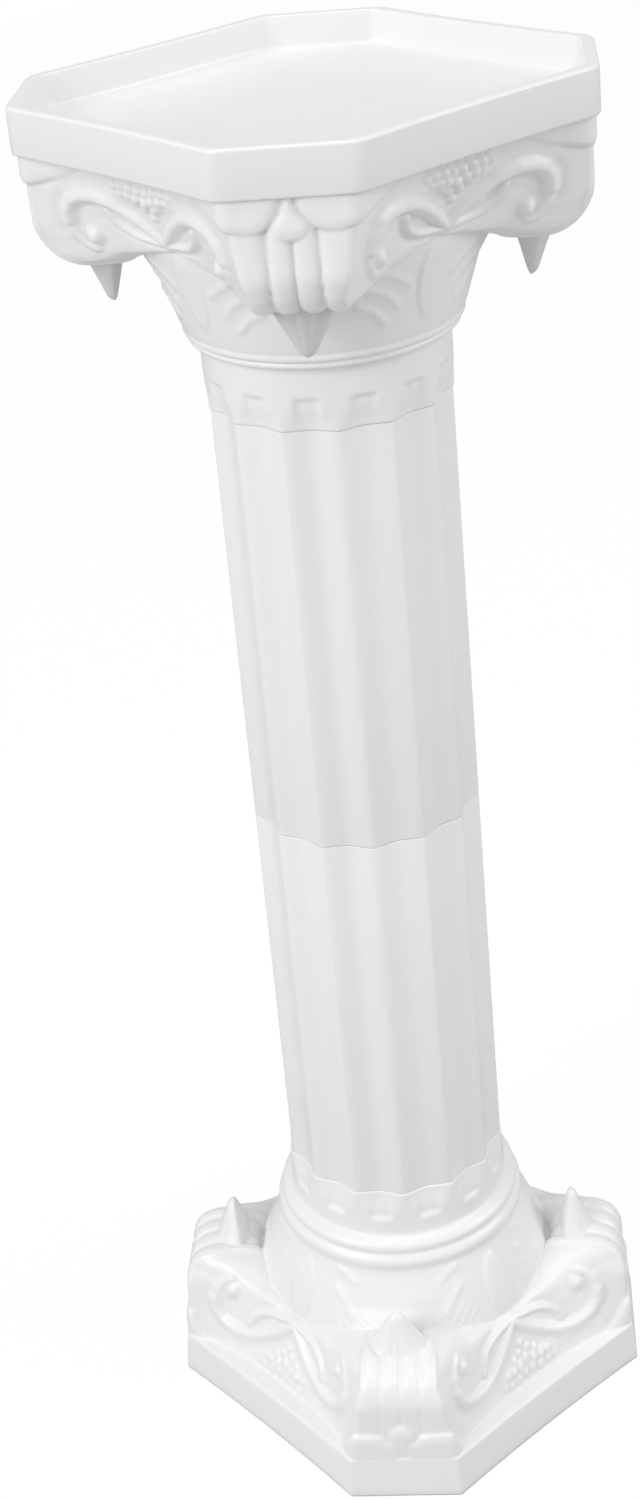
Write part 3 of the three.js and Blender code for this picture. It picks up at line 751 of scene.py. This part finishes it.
def ornament_rows(size, shaft, pattern, wide_end, inside_row):
    """The profile's table and its marks."""
    ledge, reach = pattern["ledge"], pattern["reach"]
    profile = Profile(*wide_end[0])
    flat, circle, to = profile.flat, profile.circle, profile.to
    for plan, place, cells in wide_end[1:]:
        to(flat(plan, place), cells)

    flare = size.panel_middle + 0.2 * (ledge - FLARE_END)
    to(flat((flare, reach, 30.8), ledge - 0.2), 5)
    first = profile.last
    waist = size.panel_waist
    mid = (size.panel_middle + waist) / 2 - 0.6
    for middle, half, place, cells in (
            (flare - 0.6, 30.6, ledge - 4, 3),
            (size.panel_middle, 30.3, FLARE_END, max(6, round((ledge - 4 - FLARE_END) / 1.1))),
            (mid + 2.2, 29.6, 126, 5),
            (mid, 28.9, 121, 5)):
        to(flat((middle, reach, half), place), cells)
    to(flat((waist, reach, CORNER_HALF), CURL_START, pattern["curl"][0][1]), 10)
    curl = follow(pattern["curl"], CURL_CELLS)
    side = follow([(waist, CURL_START), (97.8, 104.6), (97.2, 103.2)], CURL_CELLS)
    for k, ((corner, corner_place), (middle, place)) in enumerate(zip(curl, side)):
        half = CORNER_HALF - 3.2 * min(1, (k + 1) / 12)
        to(flat((middle, reach + corner, half), place, corner_place))
    under = follow(pattern["curl"][-1:] + pattern["curl_under"], UNDER_CELLS)
    side = follow([(97.2, 103.2), (96.6, 102.2), (95.4, 101.6), (94.3, BELL_TOP)], UNDER_CELLS)
    for k, ((corner, corner_place), (middle, place)) in enumerate(zip(under, side)):
        share = (k + 1) / UNDER_CELLS
        to(flat((middle, reach + corner, 24 - 5 * share), place, corner_place,
                step(share, 0, 1)))
    last_under = profile.last

    for k, (radius, place) in enumerate(follow(pattern["bell"], BELL_CELLS)):
        late = max(0.0, 1 - (k + 1) / 12)
        to(circle(radius, place, place + (WEB_TOP - BELL_TOP) * late))
    last_relief = profile.last
    for radius, place in follow(pattern["neck"], NECK_CELLS):
        to(circle(radius, place))
    collar = size.collar
    to(circle(collar, 22.5), 3)
    fluted = profile.last + 1
    to(circle(collar, 1.2), 20)
    to(circle(collar - 0.05, 0.5))
    to(circle(collar - 0.5, 0.0))
    inside = profile.last + 1

    bore = shaft.radius - shaft.flute_depth - shaft.wall
    if pattern["plug"]:
        outer = bore - shaft.plug_fit
        inner = outer - shaft.plug_wall
        bore_rows = ((outer, 0.0), (outer, -shaft.plug + 0.3), (outer - 0.3, -shaft.plug),
                     (inner, -shaft.plug), (inner, shaft.flange), (bore, shaft.flange + 0.2))
    else:
        bore_rows = ((bore + 0.4, 0.0), (bore, 0.4))
    for radius, place in (*bore_rows, (bore, 35), (72.0, 54), (85.5, 80), (87, 92)):
        to(circle(radius, place))
    for middle, wall, half, place in ((90, 14, 18, 97), (93, 7, 19, 110),
                                      (104.5, 5, 24, FLARE_END), (104.5, 5, 24, ledge + 2.6)):
        to(flat((middle, reach - wall, half), place))
    to(flat(*inside_row))
    table = np.array(profile.rows)
    table[2:inside - 1] = (table[1:inside - 2] + 2 * table[2:inside - 1] + table[3:inside]) / 4
    return table, Marks(first, last_under, last_relief, fluted, inside)


def ornament_skin(table, marks, columns, shaft):
    """Smooth ring points, with the collar's flutes."""
    middle, corner, half, side_place, corner_place, roundness, radius = (
        table[:, k:k + 1] for k in range(7))
    fall = np.interp(np.abs(columns.share), EDGE_SHARE, EDGE_FALL)[None, :]
    u = side_place + (corner_place - side_place) * fall
    rows = np.arange(len(table))[:, None]
    # A pocket opens between each leaf's root and the bell
    pocket = step(rows, marks.last_under - 9, marks.last_under - 3)
    pocket = pocket * (1 - step(rows, marks.last_under, marks.last_under + 7))
    u = u + 9 * pocket * step(columns.towards[None, :], 0.15, 0.7)
    x, y = columns.place(middle, corner, half)
    turn = columns.angle()[None, :]
    has_flutes = ((rows >= marks.fluted) & (rows < marks.inside)).astype(float)
    quarters = []
    for quarter in range(4):
        wave = flute_share(turn + quarter * np.pi / 2, shaft.flutes)
        # Each flute runs out, but for a small scoop at its end
        late = step(u, 0.5, 15)
        scoop = 0.5 * step(wave, 0.5, 0.95) * (1 - step(u, 16.2, 20.2))
        r = radius - shaft.flute_depth * has_flutes * (wave * (1 - late) + scoop * late)
        qx = x + (r * np.cos(turn) - x) * roundness
        qy = y + (r * np.sin(turn) - y) * roundness
        c, s = (1, 0, -1, 0)[quarter], (0, 1, 0, -1)[quarter]
        quarters.append(np.stack([c * qx - s * qy, s * qx + c * qy, u + 0 * qx], -1))
    points = np.concatenate(quarters, 1)
    carving = slice(marks.first - 8, marks.last_relief)
    points[carving] = soften(points[carving], 2)
    return points


def unit(vectors):
    return vectors / np.maximum(np.linalg.norm(vectors, axis=2, keepdims=True), 1e-9)


def directions(points, row):
    """The skin's normals, and the same laid level; the given row's face outwards."""
    across = np.roll(points, -1, 1) - np.roll(points, 1, 1)
    normal = unit(np.cross(across, np.gradient(points, axis=0)))
    if (points[row, :, :2] * normal[row, :, :2]).sum() < 0:
        normal = -normal
    return normal, unit(np.stack([across[..., 1], -across[..., 0], 0 * across[..., 0]], -1))


def distance_round(points):
    """Distance of each column from the nearest diagonal, round the ring."""
    total = points.shape[1] // 4
    apart = np.linalg.norm(np.diff(points[..., :2], axis=1, append=points[:, :1, :2]), axis=2)
    walk = np.cumsum(apart[:, :total], 1)
    walk = np.concatenate([np.zeros((len(points), 1)), walk], 1)
    walk = np.minimum(walk, walk[:, -1:] - walk)[:, :total]
    return np.concatenate([walk] * 4, 1)


def carve(points, table, marks, columns, pattern):
    """How far the drape stands out, and the height of all the relief."""
    corner, half = table[:, 1:2], table[:, 2:3]
    rows = np.arange(len(table))[:, None]
    size_x, size_y = np.abs(points[..., 0]), np.abs(points[..., 1])
    folded_x, folded_y = np.maximum(size_x, size_y), np.minimum(size_x, size_y)
    place = points[..., 2]
    carved = (rows >= marks.first) & (rows <= marks.last_relief)
    share = np.abs(np.concatenate([columns.share] * 4))[None, :]
    side_fade = step(1 - share, 0.0, 0.1) * step(rows, marks.first - 1, marks.first + 2)
    h = panel_relief(folded_y, place - pattern["panel"]) * side_fade * pattern["carving"]
    proud, fingers = corner_relief(distance_round(points), place, half, pattern)
    # The drape meets the wide end flush
    room = pattern["reach"] + sum(pattern["cloth"]) - corner
    room = np.maximum(room, 0) * (rows >= marks.first - 5) * (rows <= marks.last_under)
    proud = np.minimum(proud, room)
    face = soften(np.concatenate([columns.on_corner] * 4)[None, :] * 1.0, 2)
    under_leaf = 1 - step(rows, marks.last_under - 7, marks.last_under - 2)
    fingers = np.minimum(fingers * face * under_leaf, room)
    h = h * (1 - step(proud, 0, 0.8))
    h = np.where(np.maximum(proud, fingers) > 0, np.maximum(np.maximum(h, fingers), proud), h)
    degrees = np.degrees(np.arctan2(folded_y, folded_x))
    on_bell = bell_relief(degrees, place, pattern)
    on_bell = on_bell * step(rows, marks.last_under, marks.last_under + 3)
    h = np.where(carved & (rows > marks.last_under), on_bell, h)
    return proud, np.where(carved | (room > 0), h, 0)


def hollows(h):
    """How far the relief lies under its surroundings, from 0 to 1, which is its share of
    painted shade.
    """
    wide = h
    for _ in range(10):
        wide = soften(wide)
        wide[1:-1] = (wide[:-2] + 2 * wide[1:-1] + wide[2:]) / 4
    return np.clip((wide - h - 0.2) / 2.4, 0, 1)


def ornament_mesh(name, size, shaft, pattern, wide_end, inside_row, level):
    """One moulding: wide end, scroll panels, bell, neck rings, collar and its inside."""
    columns = Columns(104, 22)
    table, marks = ornament_rows(size, shaft, pattern, wide_end, inside_row)
    points = ornament_skin(table, marks, columns, shaft)
    normal, outward = directions(points, marks.first + 10)
    proud, h = carve(points, table, marks, columns, pattern)
    proud, h = proud * size.relief, h * size.relief
    points = points + outward * proud[..., None] + normal * (h - proud)[..., None]
    place, ledge = points[..., 2], pattern["ledge"]
    drift = step(place, 54, 76) * (1 - step(place, ledge - 14, ledge - 1))
    points[..., 2] = level(place + pattern["drift"] * drift)
    # Painted shade, strongest in the relief's hollows
    return grid_mesh(name, points, hollow=hollows(h) * pattern["shade"])


# A leaf's root and tip, as places; its sides and rings; and how far it reaches out at its
# root, on a scroll of the given reach
LEAF_ROOT, LEAF_TIP = 89.5, 57.7
LEAF_SIDES, LEAF_RINGS = 44, 20
LEAF_BACK, LEAF_SCROLL = 104, 145.2


def leaf_ring(share, pattern):
    """A leaf's section at a share of its length, as (out, across)."""
    back = LEAF_BACK + 8 * share + pattern["reach"] - LEAF_SCROLL
    thick = 24 - 20 * share ** 0.9
    wide = 42 - 36 * share ** 0.95
    close = math.sqrt(max(0.0, 1 - max(0.0, (share - 0.88) / 0.12) ** 2))
    ring = []
    for k in range(LEAF_SIDES):
        turn = k / LEAF_SIDES * 2 * math.pi
        cosine, sine = math.cos(turn), math.sin(turn)
        swell = 0.75 if cosine > 0 else 0.25
        out = back + thick * (0.25 + swell * cosine * max(close, 0.15))
        if cosine > 0:
            out += math.cos(sine * 4.5 * math.pi) * 1.1 * (1 - share) * cosine
        ring.append((out, wide / 2 * sine * max(close, 0.15)))
    return ring


def leaf_mesh(name, pattern, level):
    """Four pointed leaves that hang from the corner curls."""
    vertices, faces = [], []
    for quarter in range(4):
        angle = math.pi / 4 + quarter * math.pi / 2
        c, s = math.cos(angle), math.sin(angle)
        first = len(vertices)
        for i in range(LEAF_RINGS + 1):
            share = i / LEAF_RINGS
            u = LEAF_ROOT + (LEAF_TIP - LEAF_ROOT) * share + pattern["drift"]
            for out, across in leaf_ring(share, pattern):
                vertices.append([out * c - across * s, out * s + across * c, level(u)])
        last = first + LEAF_RINGS * LEAF_SIDES
        for row in range(first, last, LEAF_SIDES):
            for k in range(LEAF_SIDES):
                a, b = row + k, row + (k + 1) % LEAF_SIDES
                faces.append([a, b, b + LEAF_SIDES, a + LEAF_SIDES])
        faces.append([first + k for k in reversed(range(LEAF_SIDES))])
        faces.append([last + k for k in range(LEAF_SIDES)])
    points = np.array(vertices)
    volume = 0.0
    for face in faces:
        a = points[face[0]]
        volume += sum(np.dot(a, np.cross(points[b], points[d]))
                      for b, d in zip(face[1:], face[2:]))
    if volume < 0:
        faces = [face[::-1] for face in faces]
    # Each leaf takes its pattern's share of painted shade all over
    return make_mesh(name, vertices, faces, np.full(len(vertices), pattern["leaf_shade"]))


# ---- Operators ----

class COLUMN_OT_tray(bpy.types.Operator):
    """Makes the loose tray"""
    bl_idname = "column.tray"
    bl_label = "Tray"

    def execute(self, context):
        size = in_mm(context.scene.column_tray)
        add_piece("tray_moulding", tray_mesh(size), plastic_of("tray"), "tray_body", "tray")
        return {"FINISHED"}


class COLUMN_OT_tubes(bpy.types.Operator):
    """Makes the two fluted tubes of the shaft"""
    bl_idname = "column.tubes"
    bl_label = "Fluted Tubes"

    def execute(self, context):
        size = context.scene.column_shaft
        plastic = plastic_of("tube")
        tree = flute_tree()
        bore = size.radius - size.flute_depth - size.wall
        for name in ("lower", "upper"):
            bottom, top = levels(name + "_shaft_tube")
            mesh = tube_mesh(name + "_tube_moulding", tree, {
                "Radius": size.radius, "Flute Depth": size.flute_depth, "Wall": size.wall,
                "Edge": size.edge, "Bottom": bottom + size.plug, "Top": top,
                "Plug Radius": bore - size.plug_fit, "Plug Wall": size.plug_wall,
                "Plug Length": size.plug, "Flange": size.flange,
                "Flutes": size.flutes, "Material": plastic})
            add_piece(name + "_tube_moulding", mesh, plastic, name + "_tube_body",
                      name + "_shaft_tube")
        return {"FINISHED"}


def add_ornament(context, node, body, pattern, wide_end, inside_row, level):
    """Adds the base's or the capital's moulding and its leaf tips."""
    size, shaft = in_mm(context.scene.column_ornament), in_mm(context.scene.column_shaft)
    plastic = plastic_of("carved")
    name = node + "_moulding"
    mesh = ornament_mesh(name, size, shaft, pattern, wide_end, inside_row, level)
    add_piece(name, mesh, plastic, body, node)
    name = node + "_leaf_tips"
    add_piece(name, leaf_mesh(name, pattern, level), plastic, body, node)


class COLUMN_OT_capital(bpy.types.Operator):
    """Makes the capital with its scrolls, drapes and leaves"""
    bl_idname = "column.capital"
    bl_label = "Capital"

    def execute(self, context):
        tray, shaft = in_mm(context.scene.column_tray), in_mm(context.scene.column_shaft)
        plan = inset(octagon(tray.across, tray.chamfer, tray.bow), tray.wall + 0.4)
        low, top = levels("capital")
        foot = low * 1000 + shaft.plug
        height, ledge = top * 1000 - foot, CAPITAL_PATTERN["ledge"]
        wide_end = [(inset(plan, 2.2), height),
                    (inset(plan, 0.3), height, 1), (plan, height - 0.4, 1),
                    (plan, ledge + 1.8, 3), (brim(plan, 0.5), ledge + 0.5, 2),
                    (brim(plan, 1.8), ledge, 2)]
        add_ornament(context, "capital", "capital_body", CAPITAL_PATTERN, wide_end,
                     (inset(plan, 2.2), ledge + 2.6), lambda u: foot + u)
        return {"FINISHED"}


class COLUMN_OT_base(bpy.types.Operator):
    """Makes the base with its foot, scrolls and leaves"""
    bl_idname = "column.base"
    bl_label = "Base"

    def execute(self, context):
        size = in_mm(context.scene.column_ornament)
        plan = octagon(size.foot_across, size.foot_chamfer, size.foot_bow)
        drawn_in = inset(plan, size.foot_draft)
        height, ledge = levels("base")[1] * 1000, BASE_PATTERN["ledge"]
        wide_end = [(inset(plan, 3), height),
                    (inset(plan, 0.7), height, 1), (plan, height - 0.7, 1),
                    (drawn_in, ledge + 1.8, 6), (brim(drawn_in, 0.5), ledge + 0.5, 2),
                    (brim(drawn_in, 1.8), ledge, 2)]
        add_ornament(context, "base", "foot_body", BASE_PATTERN, wide_end,
                     (inset(plan, size.foot_draft + 3), ledge + 2.6), lambda u: height - u)
        return {"FINISHED"}


LAMP_TARGET = Vector((0, 0, 0.4))
CAMERA_PLACE = (-0.788176, -0.932681, 1.120945)
CAMERA_RIGHT = Vector((0.7453144, -0.66129539, -0.08482244))
CAMERA_UP = Vector((0.34564724, 0.27446484, 0.89732772))
CAMERA_VIEW = Vector((0.57011791, 0.69810991, -0.43313753))


def area_lamp(name, power, size, place):
    """A square lamp, of a size in metres, that faces the column."""
    data = bpy.data.lights.new(name, "AREA")
    data.energy, data.shape = power, "RECTANGLE"
    data.size, data.size_y = size, size
    lamp = bpy.data.objects.new(name, data)
    lamp.location = place
    lamp.rotation_euler = (LAMP_TARGET - Vector(place)).to_track_quat("-Z", "Y").to_euler()
    bpy.context.scene.collection.objects.link(lamp)


class COLUMN_OT_stage(bpy.types.Operator):
    """Makes the floor, the lamps, the backdrop and the camera"""
    bl_idname = "column.stage"
    bl_label = "Stage"

    def execute(self, context):
        scene, studio = context.scene, context.scene.column_studio
        scene.view_settings.view_transform = "Standard"
        scene.world = bpy.data.worlds.new("soft_room")
        n = cleared(scene.world)
        seen = n.add("ShaderNodeLightPath", out="Is Camera Ray")
        through = Value(n, seen.socket.node.outputs["Is Transmission Ray"])
        clear = n.math("MAXIMUM", seen, through)
        sky = n.add("ShaderNodeBackground", Color=(1.0, 1.0, 1.0),
                    Strength=clear * (1 - studio.sky) + studio.sky)
        n.add("ShaderNodeOutputWorld", Surface=sky)

        floor = bpy.data.meshes.new("floor")
        floor.from_pydata([(-4, -4, 0), (4, -4, 0), (4, 4, 0), (-4, 4, 0)], [], [(0, 1, 2, 3)])
        floor_piece = bpy.data.objects.new("floor", floor)
        scene.collection.objects.link(floor_piece)
        pale = bpy.data.materials.new("pale_floor")
        n = cleared(pale)
        matt = n.add("ShaderNodeBsdfDiffuse", Color=(0.5, 0.5, 0.5))
        white = n.add("ShaderNodeEmission", Color=(1.0, 1.0, 1.0), Strength=1.07)
        seen = n.add("ShaderNodeLightPath", out="Is Camera Ray")
        n.add("ShaderNodeOutputMaterial",
              Surface=n.add("ShaderNodeMixShader", seen * 0.88, matt, white))
        floor.materials.append(pale)

        area_lamp("window_left", studio.key, 2.4, (-4.1, -0.1, 2.6))
        area_lamp("fill_right", studio.fill, 2.2, (2.6, -3.2, 2.3))
        area_lamp("overhead", studio.top, 2.6, (-0.4, -0.4, 4.6))

        data = bpy.data.cameras.new("camera")
        data.sensor_fit, data.sensor_width = "AUTO", 36
        data.lens, data.shift_x, data.shift_y = 56.2786, 0.0034, -0.08695
        camera = bpy.data.objects.new("camera", data)
        turn = Matrix((CAMERA_RIGHT, CAMERA_UP, -CAMERA_VIEW)).transposed().to_4x4()
        camera.matrix_world = Matrix.Translation(CAMERA_PLACE) @ turn
        scene.collection.objects.link(camera)
        scene.camera = camera
        return {"FINISHED"}


class COLUMN_PT_panel(bpy.types.Panel):
    """Buttons for each piece"""
    bl_idname = "COLUMN_PT_panel"
    bl_label = "Pedestal Column"
    bl_space_type = "VIEW_3D"
    bl_region_type = "UI"
    bl_category = "Column"

    def draw(self, context):
        for operator in OPERATORS:
            self.layout.operator(operator.bl_idname)


OPERATORS = (COLUMN_OT_stage, COLUMN_OT_tray, COLUMN_OT_tubes, COLUMN_OT_capital,
             COLUMN_OT_base)
GROUPS = {"column_shaft": ColumnShaft, "column_ornament": ColumnOrnament,
          "column_tray": ColumnTray, "column_finish": ColumnFinish,
          "column_studio": ColumnStudio}


def register():
    for name, group in GROUPS.items():
        bpy.utils.register_class(group)
        setattr(bpy.types.Scene, name, bpy.props.PointerProperty(type=group))
    for item in (*OPERATORS, COLUMN_PT_panel):
        bpy.utils.register_class(item)


def unregister():
    for item in reversed((*OPERATORS, COLUMN_PT_panel)):
        bpy.utils.unregister_class(item)
    for name, group in GROUPS.items():
        delattr(bpy.types.Scene, name)
        bpy.utils.unregister_class(group)


def main():
    register()
    bpy.ops.column.stage()
    bpy.ops.column.tray()
    bpy.ops.column.tubes()
    bpy.ops.column.capital()
    bpy.ops.column.base()


if __name__ == "__main__":
    main()
